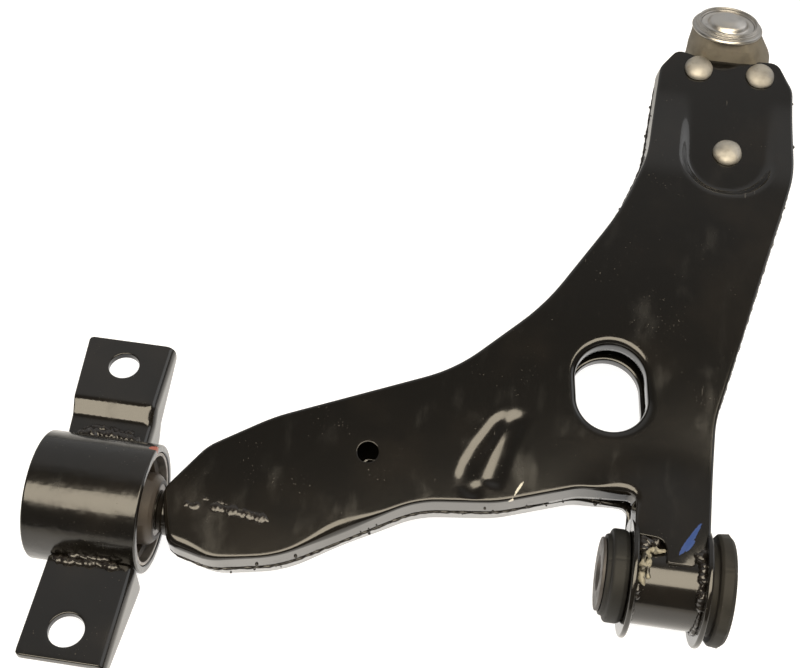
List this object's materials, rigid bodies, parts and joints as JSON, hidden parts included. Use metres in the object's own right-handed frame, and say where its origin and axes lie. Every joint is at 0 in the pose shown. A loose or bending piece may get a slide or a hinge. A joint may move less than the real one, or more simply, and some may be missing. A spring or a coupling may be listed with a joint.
{
  "type": "suspension control arm",
  "caption": "Front lower control arm of two welded pressed shells, with a riveted ball joint, a front through-bolt bush and a rear bush in a bolt-on bracket.",
  "frame": {"origin": "centre of the flat free end of the ball stud", "axes": "+X forward along the pivot axis of the two bushes, +Y outboard towards the wheel, +Z towards the road, so the stud points to -Z"},
  "size_m": [0.3471, 0.39, 0.1313],
  "materials": {
    "black_coat": "gloss black dip coat",
    "forged_steel": "satin, oiled",
    "turned_steel": "turned, satin",
    "rivet_steel": "satin, pressed",
    "plated_steel": "dull grey plating",
    "rubber": "matte moulded",
    "bearing_plastic": "moulded"
  },
  "bodies": {
    "rear_bracket": {"rear_bush_casing": "black_coat", "rear_bush_outer_sleeve": "plated_steel", "rear_bush_rubber": "rubber", "bracket_lug_outboard": "black_coat", "bracket_lug_inboard": "black_coat"},
    "arm": {"upper_shell": "black_coat", "lower_shell": "black_coat", "front_bush_tube": "black_coat", "front_tube_flange_front": "black_coat", "front_tube_flange_rear": "black_coat", "front_bush_rubber_front": "rubber", "front_bush_rubber_rear": "rubber", "rear_spigot": "black_coat", "rear_bush_inner_sleeve": "plated_steel", "ball_joint_housing": "forged_steel", "ball_joint_cap": "turned_steel", "ball_seat": "bearing_plastic", "boot_clamp_large": "plated_steel", "rivet_rear": "rivet_steel", "rivet_front": "rivet_steel", "rivet_inboard": "rivet_steel"},
    "front_sleeve": {"front_bush_sleeve": "plated_steel", "front_bush_washer": "plated_steel"},
    "boot": {"dust_boot": "rubber"},
    "boot_ring": {"boot_clamp_small": "plated_steel"},
    "stud": {"ball_stud": "turned_steel"}
  },
  "joints": [
    {"name": "arm_swing", "type": "hinge", "parent": "rear_bracket", "child": "arm", "pos_m": [-0.28205, -0.285, -0.0175], "axis": [1, 0, 0], "range_deg": [-18, 18]},
    {"name": "front_bush_turn", "type": "hinge", "parent": "arm", "child": "front_sleeve", "pos_m": [-0.0153, -0.285, -0.0175], "axis": [1, 0, 0], "range_deg": [-18, 18]},
    {"name": "ball_swing_x", "type": "hinge", "parent": "arm", "child": "boot", "pos_m": [0, 0, 0.062], "axis": [1, 0, 0], "range_deg": [-16, 16], "deforming": ["dust_boot"]},
    {"name": "ball_swing_y", "type": "hinge", "parent": "boot", "child": "boot_ring", "pos_m": [0, 0, 0.062], "axis": [0, 1, 0], "range_deg": [-16, 16]},
    {"name": "stud_turn", "type": "hinge", "parent": "boot_ring", "child": "stud", "pos_m": [0, 0, 0.062], "axis": [0, 0, 1], "continuous": true}
  ],
  "couplings": [
    {"joint": "front_bush_turn", "follows": "arm_swing", "ratio": -1}
  ]
}
